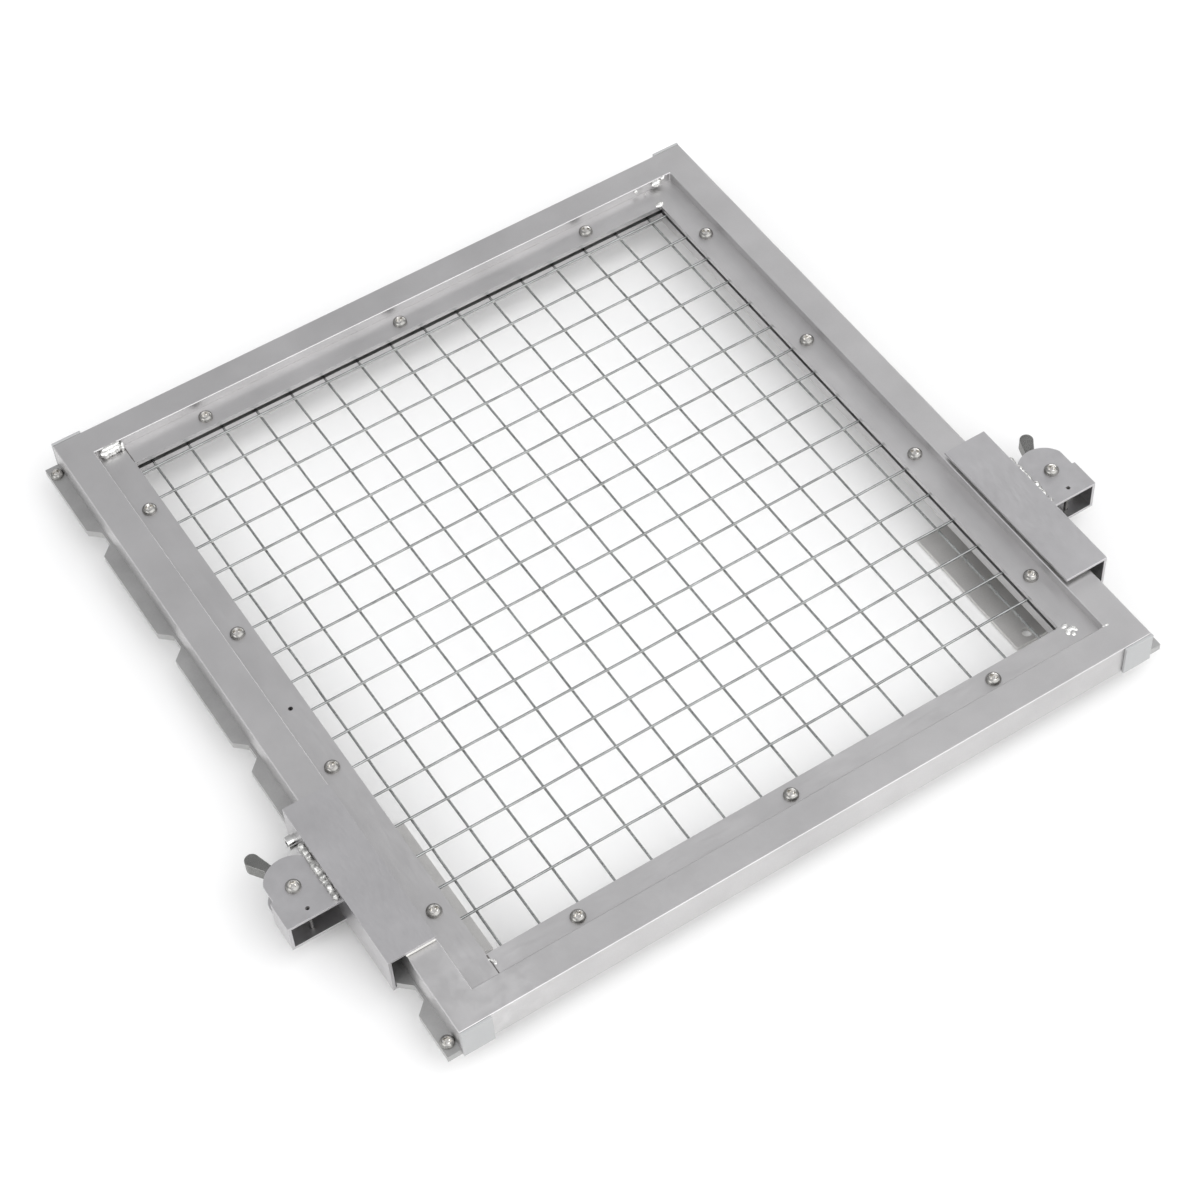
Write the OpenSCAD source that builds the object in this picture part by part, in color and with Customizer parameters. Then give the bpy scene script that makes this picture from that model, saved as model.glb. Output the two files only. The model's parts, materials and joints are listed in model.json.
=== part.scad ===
// Mesh-deck cargo carrier platform: a square aluminium frame with a clamped wire mesh deck,
// notched side racks and two slide-on latch carriages.
// Origin: centre of the frame in plan, on the plane that the carriage feet stand on.
// X runs across the frame, Y from the front to the back, Z up.

/* [Frame] */
// Overall width over the two side rails
frame_w = 476; // [400:1:560]
// Length of the side rails, without their end caps
frame_l = 506; // [430:1:600]
// Width of every rail tube
rail_w = 20; // [18:0.5:28]
// Height of every rail tube
rail_h = 23; // [21:0.5:28]
// Wall thickness of the rail tubes
rail_wall = 2; // [1.5:0.1:3]
// Thickness of the end cap that stands proud of a side rail
cap_t = 2; // [1:0.1:3]
// Depth of the end cap's plug inside the tube
cap_plug = 10; // [6:1:16]
// Gap all round the end cap's plug
cap_gap = 0.1; // [0.05:0.05:0.4]

/* [Mesh clamp] */
// Width of the flange bars along the sides of the opening
flange_w = 19; // [16:0.5:26]
// Width of the flange bars at the front and at the back of the opening
end_flange_w = 17.5; // [16:0.5:26]
// Thickness of the flange bars
flange_t = 3.5; // [2.5:0.1:5]
// Height of the rail tops above the flange bars
flange_drop = 6.5; // [4:0.1:7.5]
// Thickness of the retainer bars under the mesh
retainer_t = 7.5; // [4:0.1:7.5]
// Diameter of the mesh wire
wire_d = 1.6; // [1.6:0.1:2.4]
// Spacing of the long wires
wire_pitch = 25; // [20:0.5:40]
// Spacing of the cross wires
cross_pitch = 24.7; // [20:0.1:40]
// How far the mesh reaches in under the flange bars
mesh_grip = 6.5; // [5:0.5:9.5]
// Gap between the wires' layers and to the bars that clamp them
wire_gap = 0.03; // [0.02:0.01:0.1]
// Distance of the first cross wire from the back edge of the opening
first_wire = 6.3; // [1:0.1:12]
// Least distance of the last cross wire from the front edge of the opening
last_wire = 20; // [5:1:30]
// Diameter of the witness hole in the left flange bar
witness_d = 3; // [2:0.5:4]
// Place of the witness hole along the left flange bar
witness_y = -8; // [-100:1:100]

/* [Screws] */
// Diameter of the screw shanks
screw_d = 5; // [4:0.5:6]
// Diameter of a pan head
head_d = 9.5; // [8:0.1:10.5]
// Height of a pan head
head_h = 3.3; // [2.4:0.1:4]
// Radial gap of a shank in its hole
screw_gap = 0.1; // [0.05:0.05:0.4]
// Distance of the deck screws from the rails
screw_inset = 9; // [5.5:0.1:9.5]
// Number of deck screws along the front and along the back
end_screws = 3; // [2:1:5]
// Spacing of the deck screws along the front and the back
end_screw_pitch = 144.2; // [60:0.1:150]
// Number of deck screws along each side
side_screws = 4; // [2:1:6]
// Spacing of the deck screws along each side
side_screw_pitch = 117.2; // [60:0.1:125]

/* [Notched racks] */
// How far a rack stands out from its rail
rack_w = 9; // [8:0.5:12]
// Thickness of a rack
rack_t = 5; // [3:0.1:6]
// Number of notches in a rack
notches = 5; // [2:1:5]
// Spacing of the notches
notch_pitch = 97.5; // [60:0.5:100]
// Distance of the first notch from the front end of the rack
notch_first = 43.5; // [30:0.1:60]
// Depth of a notch
notch_depth = 7.4; // [5:0.1:7.5]
// Width of a notch at its bottom
notch_base = 10.6; // [9:0.1:14]
// Width of a notch at its mouth
notch_mouth = 24.6; // [20:0.1:30]
// Distance of the stop screws from the ends of a rack
stop_inset = 8; // [6:0.5:14]
// Diameter of a stop screw's head
stop_head_d = 8.8; // [7:0.1:8.8]

/* [Carriages] */
// Notch that the carriages stand at, counted from the front
rest_notch = 2; // [1:1:4]
// Length of a carriage
carriage_l = 121.5; // [110:0.5:140]
// Distance from the latched notch to the back end of a carriage
carriage_back = 37; // [32:0.1:45]
// Thickness of the carriage sheet
sheet_t = 2; // [1.5:0.1:3]
// Running gap between a carriage and what it slides on
slide_gap = 0.3; // [0.3:0.05:0.6]
// Gap between a rack's edge and the carriage wall
side_gap = 0.4; // [0.3:0.05:0.8]
// Thickness of the glide pad on top of the rail
pad_t = 2.5; // [1.5:0.1:4]
// How far a carriage's top plate stops short of the rail's inner edge
top_short = 1; // [0:0.5:6]
// How far a carriage's bottom plate reaches in under the rail
bottom_reach = 15; // [12:0.5:20]
// Set-back of the right glide pad from the front and the inner edge of its carriage
pad_setback = 4; // [0:0.5:8]

/* [Feet] */
// Height of the foot bracket under the carriage
foot_h = 16; // [12:0.5:30]
// Thickness of the foot bracket
foot_t = 3; // [2:0.1:4]
// Length of the foot bracket
foot_l = 102; // [90:1:120]
// How far the foot reaches in from its upright leg
foot_reach = 40; // [34:0.5:50]
// Place of the foot's upright leg, in from the rail's outer face
foot_leg = 9; // [7:0.5:12]
// Diameter of the bolt holes in a foot
foot_hole_d = 6.6; // [5:0.1:9]
// Distance of the front bolt hole from the foot's front end
foot_hole_front = 6.5; // [6:0.5:20]
// Distance of the back bolt hole from the foot's back end
foot_hole_back = 12; // [8:0.5:20]
// Distance of the front bolt hole from the foot's inner edge
foot_hole_in = 12; // [8:0.5:14]
// Distance of the back bolt hole from the foot's inner edge
foot_hole_out = 28; // [22:0.5:32]

/* [Latch] */
// Width of the latch housing, out from the carriage wall
housing_w = 34.5; // [32:0.5:40]
// Height of the latch housing
housing_h = 22; // [21:0.5:24]
// Height of the housing's floor above the carriage's bottom face
housing_lift = 1.3; // [1:0.1:2]
// Distance from the latched notch to the front of the housing
housing_front = 31; // [28:0.5:40]
// Length of the housing's outer wall
housing_side = 20.5; // [14:0.5:22]
// Radius of the housing's rounded ears
ear_r = 17.5; // [16.8:0.1:19]
// Distance from the ears' centre to the front of the housing
ear_back = 26; // [24:0.5:30]
// Distance from the carriage wall to the lever's pivot
pivot_out = 18.4; // [17:0.1:20]
// Distance of the pivot in front of the latched notch
pivot_fwd = 8; // [6:0.1:10]
// Thickness of the latch lever
lever_t = 9.4; // [7:0.1:9.6]
// Diameter of the lever's hub
hub_d = 15; // [13:0.5:16]
// Diameter of the lever's spring seat
seat_d = 8.5; // [8:0.1:10]
// Radius of the lever's nose
nose_r = 3.5; // [3:0.1:4]
// How deep the nose enters a notch
nose_in = 4.5; // [3:0.1:5]
// Distance of the latched nose behind the pivot
nose_back = 6.5; // [5:0.1:8]
// Room for the nose on each side of it in the carriage's window
window_gap = 2.4; // [1:0.1:3]
// Gap between the freed nose and the rack
nose_gap = 0.4; // [0.3:0.1:1]
// Radius of the lever's thumb end
knob_r = 4.4; // [4:0.1:6]
// Radius of the lever's neck
neck_r = 2.7; // [2.5:0.1:4]
// Radial running gap of the lever on its pivot
pivot_gap = 0.06; // [0.02:0.01:0.1]
// Diameter of the spring pin
pin_d = 2.5; // [2:0.1:3]
// Wall of the spring pin, which is a rolled tube
pin_wall = 0.4; // [0.3:0.05:0.6]
// Distance of the spring pin from the housing's front edge
pin_in = 6.4; // [5:0.1:8]
// Diameter of the spring wire
spring_wire = 1.2; // [1:0.1:1.6]
// Height of the stop bolt above the carriage's bottom face
stop_bolt_z = 14.3; // [13.5:0.1:15]
// Distance of the stop bolt behind the latched notch
stop_bolt_back = 24.7; // [23:0.1:28]
// Diameter of the stop bolt's head
bolt_head_d = 8.5; // [8:0.1:10]
// Length of the stop bolt's head
bolt_head_l = 6; // [4:0.1:6.5]

/* [Hidden] */
$fn = 48;
eps = 0.01;
// Across-flats and thickness of the nuts
nut_af = 8;
nut_t = 4;
// Slot of the cross recess: length, width and depth
recess = [5, 1.1, 1.3];

// Plan
half_w = frame_w / 2;
half_l = frame_l / 2;
in_x = half_w - rail_w;
in_y = half_l - rail_w;
open_x = in_x - flange_w;
open_y = in_y - end_flange_w;
rack_out = half_w + rack_w;
wall_in = rack_out + side_gap;
wall_out = wall_in + sheet_t;
rest_y = -half_l + notch_first + (rest_notch - 1) * notch_pitch;
carriage_y1 = rest_y + carriage_back;
carriage_y0 = carriage_y1 - carriage_l;
housing_y0 = rest_y - housing_front;
pivot_x = wall_out + pivot_out;
pivot_y = rest_y - pivot_fwd;
pin_x = pivot_x;
pin_y = housing_y0 + pin_in;
ear_x = wall_out + (housing_w - sheet_t) / 2;
ear_y = housing_y0 + ear_back;
stop_y = rest_y + stop_bolt_back;
foot_x1 = half_w - foot_leg;
foot_x0 = foot_x1 - foot_t - foot_reach;

// Levels
carriage_z = foot_h;
rail_z = carriage_z + sheet_t + slide_gap;
rail_top = rail_z + rail_h;
flange_z = rail_top - flange_drop - flange_t;
cross_wire_z = flange_z - wire_gap - wire_d / 2;
long_wire_z = cross_wire_z - wire_gap - wire_d;
retainer_z = long_wire_z - wire_d / 2 - wire_gap - retainer_t;
pad_z = rail_top + slide_gap;
plate_z = pad_z + pad_t;
carriage_top = plate_z + sheet_t;
housing_z = carriage_z + housing_lift;
lever_z = housing_z + sheet_t + slide_gap;
seat_top = housing_z + housing_h - sheet_t - slide_gap;
bolt_z = carriage_z + stop_bolt_z;

// Latch lever: the nose's reach when it is latched and when it is free
nose_to_rack = pivot_x - rack_out;
latched_x = nose_to_rack + nose_in - nose_r;
free_x = nose_to_rack - nose_gap - nose_r;
nose_len = sqrt(latched_x * latched_x + nose_back * nose_back);
latched_angle = atan2(nose_back, latched_x);
free_angle = acos(free_x / nose_len);
neck_at = [4.2, 25.5];
knob_at = [9.2, 35.6];
// Opening in the carriage wall that the nose swings through
window_y0 = pivot_y + nose_back - nose_r - window_gap;
window_y1 = pivot_y + nose_len * sin(free_angle) + nose_r + window_gap;

// Everything on the right side is drawn as it is, and mirrored for the left
module on_side(s) {
    if (s > 0) children();
    else mirror([1, 0, 0]) children();
}

// A block from its lowest corner to its highest corner
module block(a, b) {
    translate(a) cube(b - a);
}

// Pan-head screw with a cross recess, head seated on z = 0, shank pointing down
module pan_screw(length, d, hd, hh) {
    difference() {
        union() {
            rotate_extrude()
                polygon([[0, 0], [hd / 2, 0], [hd / 2, hh * 0.35],
                         [hd * 0.42, hh * 0.75], [hd * 0.24, hh], [0, hh]]);
            translate([0, 0, -length]) cylinder(d = d, h = length + eps);
        }
        for (a = [0, 90])
            rotate(a) translate([-recess[0] / 2, -recess[1] / 2, hh - recess[2]])
                cube([recess[0], recess[1], recess[2] + 1]);
    }
}

// Hexagon nut, seated on z = 0 and standing up
module hex_nut() {
    difference() {
        cylinder(d = nut_af / cos(30), h = nut_t, $fn = 6);
        translate([0, 0, -1]) cylinder(d = screw_d + 2 * screw_gap, h = nut_t + 2);
    }
}

// Rectangular tube along X (turn = 0) or along Y (turn = 90), centred on the origin in plan
module rail_tube(length, turn) {
    rotate(turn) difference() {
        translate([-length / 2, -rail_w / 2, 0]) cube([length, rail_w, rail_h]);
        translate([-length / 2 - 1, -rail_w / 2 + rail_wall, rail_wall])
            cube([length + 2, rail_w - 2 * rail_wall, rail_h - 2 * rail_wall]);
    }
}

// ---- Frame ----
module side_rail(s) {
    color("silver") translate([s * (half_w - rail_w / 2), 0, rail_z]) rail_tube(frame_l, 90);
}

module end_rail(s) {
    color("silver") translate([0, s * (half_l - rail_w / 2), rail_z]) rail_tube(2 * in_x, 0);
}

module end_cap(sx, sy) {
    plug_w = rail_w - 2 * rail_wall - 2 * cap_gap;
    plug_h = rail_h - 2 * rail_wall - 2 * cap_gap;
    color("gainsboro")
    translate([sx * (half_w - rail_w / 2), sy * half_l, rail_z])
    mirror([0, sy > 0 ? 0 : 1, 0]) {
        translate([-rail_w / 2, 0, 0]) cube([rail_w, cap_t, rail_h]);
        translate([-plug_w / 2, -cap_plug, rail_wall + cap_gap])
            cube([plug_w, cap_plug + eps, plug_h]);
    }
}

// ---- Places of the deck screws, as [x, y] ----
side_screw_x = in_x - screw_inset;
end_screw_y = in_y - screw_inset;
side_screw_ys = [for (i = [0 : side_screws - 1]) (i - (side_screws - 1) / 2) * side_screw_pitch];
end_screw_xs = [for (i = [0 : end_screws - 1]) (i - (end_screws - 1) / 2) * end_screw_pitch];
deck_screw_at = concat(
    [for (s = [-1, 1], y = side_screw_ys) [s * side_screw_x, y]],
    [for (s = [-1, 1], x = end_screw_xs) [x, s * end_screw_y]]);

// Holes that every deck screw passes through, cut from a bar
module deck_holes(gap) {
    for (p = deck_screw_at)
        translate([p[0], p[1], retainer_z - 1])
            cylinder(d = screw_d + 2 * gap, h = flange_z + flange_t - retainer_z + 2);
}

module side_bar(s, z, t, gap) {
    difference() {
        on_side(s) block([open_x, -in_y, z], [in_x, in_y, z + t]);
        deck_holes(gap);
    }
}

module end_bar(s, z, t, gap) {
    difference() {
        mirror([0, s > 0 ? 0 : 1, 0]) block([-open_x, open_y, z], [open_x, in_y, z + t]);
        deck_holes(gap);
    }
}

module flange_side(s) {
    color("lightgray") difference() {
        side_bar(s, flange_z, flange_t, 2 * screw_gap);
        if (s < 0)
            translate([-side_screw_x, witness_y, flange_z - 1])
                cylinder(d = witness_d, h = flange_t + 2);
    }
}

module flange_end(s) {
    color("lightgray") end_bar(s, flange_z, flange_t, 2 * screw_gap);
}

module retainer_side(s) {
    color("silver") side_bar(s, retainer_z, retainer_t, screw_gap);
}

module retainer_end(s) {
    color("silver") end_bar(s, retainer_z, retainer_t, screw_gap);
}

// ---- Mesh ----
module mesh_long_wires() {
    half = open_y + mesh_grip;
    n = floor(open_x / wire_pitch + 0.5);
    color("darkgray")
    for (i = [-n : n - 1])
        translate([(i + 0.5) * wire_pitch, half, long_wire_z])
            rotate([90, 0, 0]) cylinder(d = wire_d, h = 2 * half, $fn = 24);
}

module mesh_cross_wires() {
    half = open_x + mesh_grip;
    n = floor((2 * open_y - first_wire - last_wire) / cross_pitch);
    color("gray")
    for (i = [0 : n])
        translate([-half, open_y - first_wire - i * cross_pitch, cross_wire_z])
            rotate([0, 90, 0]) cylinder(d = wire_d, h = 2 * half, $fn = 24);
}

module deck_screws() {
    color("dimgray")
    for (p = deck_screw_at)
        translate([p[0], p[1], flange_z + flange_t])
            pan_screw(flange_z + flange_t - retainer_z, screw_d, head_d, head_h);
}

// ---- Notched racks ----
module notched_rack(s) {
    color("darkgray") on_side(s) difference() {
        block([half_w, -half_l, rail_z], [rack_out, half_l, rail_z + rack_t]);
        for (i = [0 : notches - 1])
            translate([rack_out, -half_l + notch_first + i * notch_pitch, rail_z - 1])
                linear_extrude(rack_t + 2)
                    polygon([[0.1, -notch_mouth / 2], [0, -notch_mouth / 2],
                             [-notch_depth, -notch_base / 2], [-notch_depth, notch_base / 2],
                             [0, notch_mouth / 2], [0.1, notch_mouth / 2]]);
        for (y = [-1, 1])
            translate([half_w + rack_w / 2, y * (half_l - stop_inset), rail_z - 1])
                cylinder(d = screw_d + 2 * screw_gap, h = rack_t + 2);
    }
}

module rack_stop_screws() {
    color("dimgray")
    for (s = [-1, 1], y = [-1, 1])
        translate([s * (half_w + rack_w / 2), y * (half_l - stop_inset), rail_z + rack_t])
            pan_screw(rack_t, screw_d, stop_head_d, head_h);
}

// ---- Carriages ----
module carriage(s) {
    color("lightsteelblue") on_side(s) difference() {
        union() {
            block([in_x + top_short, carriage_y0, plate_z], [wall_out, carriage_y1, carriage_top]);
            block([wall_in, carriage_y0, carriage_z], [wall_out, carriage_y1, carriage_top]);
            block([half_w - bottom_reach, carriage_y0, carriage_z],
                  [wall_out, carriage_y1, carriage_z + sheet_t]);
        }
        // window for the lever's nose
        block([wall_in - 1, window_y0, lever_z - slide_gap],
              [wall_out + 1, window_y1, lever_z + lever_t + slide_gap]);
        // hole for the stop bolt
        translate([wall_in - 1, stop_y, bolt_z]) rotate([0, 90, 0])
            cylinder(d = screw_d + 2 * screw_gap, h = sheet_t + 2);
    }
}

module glide_pad(s) {
    back = s > 0 ? pad_setback : 0;
    color("white") on_side(s)
        block([in_x + top_short + back, carriage_y0 + back, pad_z], [half_w, carriage_y1, plate_z]);
}

module foot(s) {
    y0 = carriage_y0;
    y1 = carriage_y0 + foot_l;
    color("darkgray") on_side(s) difference() {
        union() {
            block([foot_x0, y0, 0], [foot_x1, y1, foot_t]);
            block([foot_x1 - foot_t, y0, 0], [foot_x1, y1, foot_h]);
        }
        translate([foot_x0 + foot_hole_in, y0 + foot_hole_front, -1])
            cylinder(d = foot_hole_d, h = foot_t + 2);
        translate([foot_x0 + foot_hole_out, y1 - foot_hole_back, -1])
            cylinder(d = foot_hole_d, h = foot_t + 2);
    }
}

// ---- Latch ----
// Outline of the housing's top and bottom plates: square at the front, rounded at the back
module ear_outline() {
    intersection() {
        translate([wall_out, housing_y0]) square([housing_w - sheet_t, ear_back + ear_r]);
        union() {
            translate([wall_out, housing_y0]) square([housing_w, ear_back]);
            translate([ear_x, ear_y]) circle(r = ear_r, $fn = 96);
        }
    }
}

module latch_housing(s) {
    outer = wall_out + housing_w;
    color("lightgray") on_side(s) difference() {
        union() {
            for (z = [housing_z, housing_z + housing_h - sheet_t])
                translate([0, 0, z]) linear_extrude(sheet_t) ear_outline();
            block([outer - sheet_t, housing_y0, housing_z],
                  [outer, housing_y0 + housing_side, housing_z + housing_h]);
        }
        translate([pivot_x, pivot_y, housing_z - 1])
            cylinder(d = screw_d + 2 * screw_gap, h = housing_h + 2);
        translate([pin_x, pin_y, housing_z - 1])
            cylinder(d = pin_d + screw_gap, h = housing_h + 2);
    }
}

// One straight arm of the lever, tapering between two round ends
module lever_arm(a, ra, b, rb) {
    hull() {
        translate(a) circle(r = ra, $fn = 32);
        translate(b) circle(r = rb, $fn = 32);
    }
}

module latch_lever(s) {
    nose_at = nose_len * [-cos(free_angle), sin(free_angle)];
    color("slategray") on_side(s) translate([pivot_x, pivot_y, 0]) difference() {
        union() {
            translate([0, 0, lever_z]) linear_extrude(lever_t) {
                lever_arm([0, 0], hub_d / 2 - 1, nose_at, nose_r);
                lever_arm([0, 0], hub_d / 2 - 1, neck_at, neck_r);
                lever_arm(neck_at, neck_r, knob_at, knob_r);
            }
            translate([0, 0, lever_z]) cylinder(d = hub_d, h = lever_t);
            translate([0, 0, lever_z]) cylinder(d = seat_d, h = seat_top - lever_z);
        }
        translate([0, 0, lever_z - 1])
            cylinder(d = screw_d + 2 * pivot_gap, h = seat_top - lever_z + 2);
    }
}

// Torsion spring: its coil around the lever's seat, and the leg that rests on the spring pin
module lever_spring(s) {
    r_in = seat_d / 2 + 0.45;
    r_mid = r_in + spring_wire / 2;
    z0 = lever_z + lever_t + slide_gap + 0.1;
    reach = sqrt(pow(pin_x - pivot_x, 2) + pow(pin_y - pivot_y, 2));
    lean = asin((r_mid - spring_wire / 2 - pin_d / 2 - 0.05) / reach);
    color("gray") on_side(s) translate([pivot_x, pivot_y, 0]) {
        translate([0, 0, z0]) rotate_extrude()
            translate([r_in, 0]) square([spring_wire, seat_top - z0]);
        rotate(-lean) translate([r_mid, 0, z0 + spring_wire / 2])
            rotate([90, 0, 0]) cylinder(d = spring_wire - 0.1, h = reach + pin_d, $fn = 24);
    }
}

// Roll pin: a short tube across the housing
module spring_pin(s) {
    color("gray") on_side(s) translate([pin_x, pin_y, housing_z + 0.5]) difference() {
        cylinder(d = pin_d, h = housing_h - sheet_t);
        translate([0, 0, -1]) cylinder(d = pin_d - 2 * pin_wall, h = housing_h);
    }
}

module pivot_screw(s) {
    color("dimgray") on_side(s) translate([pivot_x, pivot_y, housing_z + housing_h])
        pan_screw(housing_h + nut_t + 0.5, screw_d, head_d, head_h);
}

module pivot_nut(s) {
    color("dimgray") on_side(s) translate([pivot_x, pivot_y, housing_z - nut_t]) hex_nut();
}

module stop_bolt(s) {
    color("dimgray") on_side(s) translate([wall_out, stop_y, bolt_z]) rotate([0, 90, 0]) {
        difference() {
            cylinder(d = bolt_head_d, h = bolt_head_l);
            translate([0, 0, bolt_head_l / 2]) cylinder(d = 4.6, h = bolt_head_l, $fn = 6);
        }
        translate([0, 0, -sheet_t - nut_t - 0.5])
            cylinder(d = screw_d, h = sheet_t + nut_t + 0.5 + eps);
    }
}

module stop_nut(s) {
    color("dimgray") on_side(s) translate([wall_in - nut_t, stop_y, bolt_z])
        rotate([0, 90, 0]) hex_nut();
}

side_rail(-1);  // side_rail_left
side_rail(1);  // side_rail_right
end_rail(-1);  // front_rail
end_rail(1);  // back_rail
end_cap(-1, -1);  // end_cap_front_left
end_cap(1, -1);  // end_cap_front_right
end_cap(-1, 1);  // end_cap_back_left
end_cap(1, 1);  // end_cap_back_right
flange_side(-1);  // flange_left
flange_side(1);  // flange_right
flange_end(-1);  // flange_front
flange_end(1);  // flange_back
retainer_side(-1);  // retainer_left
retainer_side(1);  // retainer_right
retainer_end(-1);  // retainer_front
retainer_end(1);  // retainer_back
mesh_long_wires();
mesh_cross_wires();
deck_screws();
notched_rack(-1);  // notched_rack_left
notched_rack(1);  // notched_rack_right
rack_stop_screws();
carriage(-1);  // carriage_left
carriage(1);  // carriage_right
glide_pad(-1);  // glide_pad_left
glide_pad(1);  // glide_pad_right
foot(-1);  // foot_left
foot(1);  // foot_right
latch_housing(-1);  // latch_housing_left
latch_housing(1);  // latch_housing_right
latch_lever(-1);  // latch_lever_left
latch_lever(1);  // latch_lever_right
lever_spring(-1);  // lever_spring_left
lever_spring(1);  // lever_spring_right
spring_pin(-1);  // spring_pin_left
spring_pin(1);  // spring_pin_right
pivot_screw(-1);  // pivot_screw_left
pivot_screw(1);  // pivot_screw_right
pivot_nut(-1);  // pivot_nut_left
pivot_nut(1);  // pivot_nut_right
stop_bolt(-1);  // stop_bolt_left
stop_bolt(1);  // stop_bolt_right
stop_nut(-1);  // stop_nut_left
stop_nut(1);  // stop_nut_right
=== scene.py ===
import json
import math
import random

import bmesh
import bpy
import numpy as np
from bpy.props import FloatProperty, FloatVectorProperty, IntProperty, PointerProperty
from mathutils import Matrix, Vector, noise


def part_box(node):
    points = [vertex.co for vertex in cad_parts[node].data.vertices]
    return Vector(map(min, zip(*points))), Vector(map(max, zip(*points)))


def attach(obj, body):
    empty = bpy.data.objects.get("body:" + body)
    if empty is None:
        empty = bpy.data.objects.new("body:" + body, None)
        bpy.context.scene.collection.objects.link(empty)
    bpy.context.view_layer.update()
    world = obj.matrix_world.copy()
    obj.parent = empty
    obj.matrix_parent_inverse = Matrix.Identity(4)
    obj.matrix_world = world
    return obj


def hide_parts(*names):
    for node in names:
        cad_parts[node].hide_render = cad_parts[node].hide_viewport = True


bl_info = {
    "name": "Cargo carrier platform",
    "version": (1, 0, 0),
    "blender": (4, 5, 0),
    "location": "3D View > Sidebar > Carrier",
    "description": "Finishes a mesh-deck cargo platform with sliding latch carriages",
    "category": "Object",
}

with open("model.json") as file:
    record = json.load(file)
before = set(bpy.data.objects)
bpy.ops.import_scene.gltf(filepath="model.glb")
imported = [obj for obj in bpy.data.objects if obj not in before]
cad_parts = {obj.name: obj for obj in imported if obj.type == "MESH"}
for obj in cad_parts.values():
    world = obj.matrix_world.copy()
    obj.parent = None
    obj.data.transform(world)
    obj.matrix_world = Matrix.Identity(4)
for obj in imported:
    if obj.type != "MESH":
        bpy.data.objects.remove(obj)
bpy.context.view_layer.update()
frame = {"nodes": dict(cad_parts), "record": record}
MM = 0.001
SIDES = (("left", -1), ("right", 1))


def box_mm(node):
    """Lowest and highest corner of a CAD node, in millimetres."""
    low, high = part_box(node)
    return Vector(low) / MM, Vector(high) / MM


# Places that the welds, wires and screws share, all taken from the CAD nodes, in millimetres
RAIL_LOW, RAIL_HIGH = box_mm("side_rail_right")
FLANGE_LOW, FLANGE_HIGH = box_mm("flange_right")
END_LOW, END_HIGH = box_mm("flange_back")
HOUSING_LOW, HOUSING_HIGH = box_mm("latch_housing_right")
CARRIAGE_WALL = box_mm("carriage_right")[1].x   # outer face of a carriage's upright wall
HALF_W, HALF_L = RAIL_HIGH.x, RAIL_HIGH.y       # outside of the frame
IN_X, IN_Y = RAIL_LOW.x, END_HIGH.y             # inner faces of the rails
OPEN_X, OPEN_Y = FLANGE_LOW.x, END_LOW.y        # edges of the opening
RAIL_TOP, FLANGE_TOP = RAIL_HIGH.z, FLANGE_HIGH.z

CORNERS = ((-1, -1), (1, -1), (1, 1), (-1, 1))  # signs of a rectangle's corners, in turn
SHARP_ANGLE = 30        # degrees; a sharper edge than this is rounded
ROUNDED_ANGLE = 50      # degrees; a rounded piece is shaded smooth below this
ROUND_ANGLE = 60        # degrees; the same for wound and welded pieces


def linear(hex_code):
    """An sRGB hex colour as linear red, green and blue."""
    parts = [int(hex_code[i:i + 2], 16) / 255 for i in (1, 3, 5)]
    return tuple(p / 12.92 if p <= 0.04045 else ((p + 0.055) / 1.055) ** 2.4 for p in parts)


# ---------------------------------------------------------------- settings
class CarrierEdges(bpy.types.PropertyGroup):
    """Edge roundings of the pieces."""
    tube: FloatProperty(
        name="Tube corner", description="Corner radius of the rail tubes",
        default=0.8 * MM, unit="LENGTH")
    bar: FloatProperty(
        name="Bar edge", description="Broken edge of the flange and retainer bars",
        default=0.45 * MM, unit="LENGTH")
    sheet: FloatProperty(
        name="Sheet edge", description="Rounding of the folded sheet's edges",
        default=0.35 * MM, unit="LENGTH")
    lever: FloatProperty(
        name="Lever edge", description="Rounding of the latch lever's edges",
        default=1.3 * MM, unit="LENGTH")


class CarrierWires(bpy.types.PropertyGroup):
    """Form of the welded mesh."""
    sway: FloatProperty(
        name="Sway", description="How far a wire strays sideways from straight",
        default=0.45 * MM, unit="LENGTH")
    nugget: FloatProperty(
        name="Weld nugget", description="Width of the resistance weld where two wires cross",
        default=1.9 * MM, unit="LENGTH")
    sides: IntProperty(
        name="Sides", description="Number of sides of a wire", default=12, min=6, max=24)


class CarrierColours(bpy.types.PropertyGroup):
    """Colours of the finishes."""
    rail: FloatVectorProperty(
        name="Rail", description="Extruded tube and flange bars", subtype="COLOR",
        size=3, default=linear("#C8C7C7"))
    sheet: FloatVectorProperty(
        name="Sheet", description="Folded sheet of the carriages and housings", subtype="COLOR",
        size=3, default=linear("#C6C5C6"))
    rack: FloatVectorProperty(
        name="Rack", description="Sawn bar of the notched racks", subtype="COLOR",
        size=3, default=linear("#B7B7B6"))
    wire: FloatVectorProperty(
        name="Wire", description="Zinc plated wire of the mesh", subtype="COLOR",
        size=3, default=linear("#9A9C9B"))
    cap: FloatVectorProperty(
        name="End cap", description="Moulded caps of the rail ends", subtype="COLOR",
        size=3, default=linear("#AFB0B0"))
    steel: FloatVectorProperty(
        name="Steel", description="Stainless screws, nuts and bolts", subtype="COLOR",
        size=3, default=linear("#DAD8D4"))
    lever: FloatVectorProperty(
        name="Lever", description="Latch levers", subtype="COLOR",
        size=3, default=linear("#868684"))


# ---------------------------------------------------------------- materials
def add_node(tree, kind, settings=None, links=None):
    """Adds one shader node, sets its values and joins its inputs."""
    node = tree.nodes.new(kind)
    for name, value in (settings or {}).items():
        if hasattr(node, name):
            setattr(node, name, value)
        else:
            node.inputs[name].default_value = value
    for name, source in (links or {}).items():
        tree.links.new(source, node.inputs[name])
    return node


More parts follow.
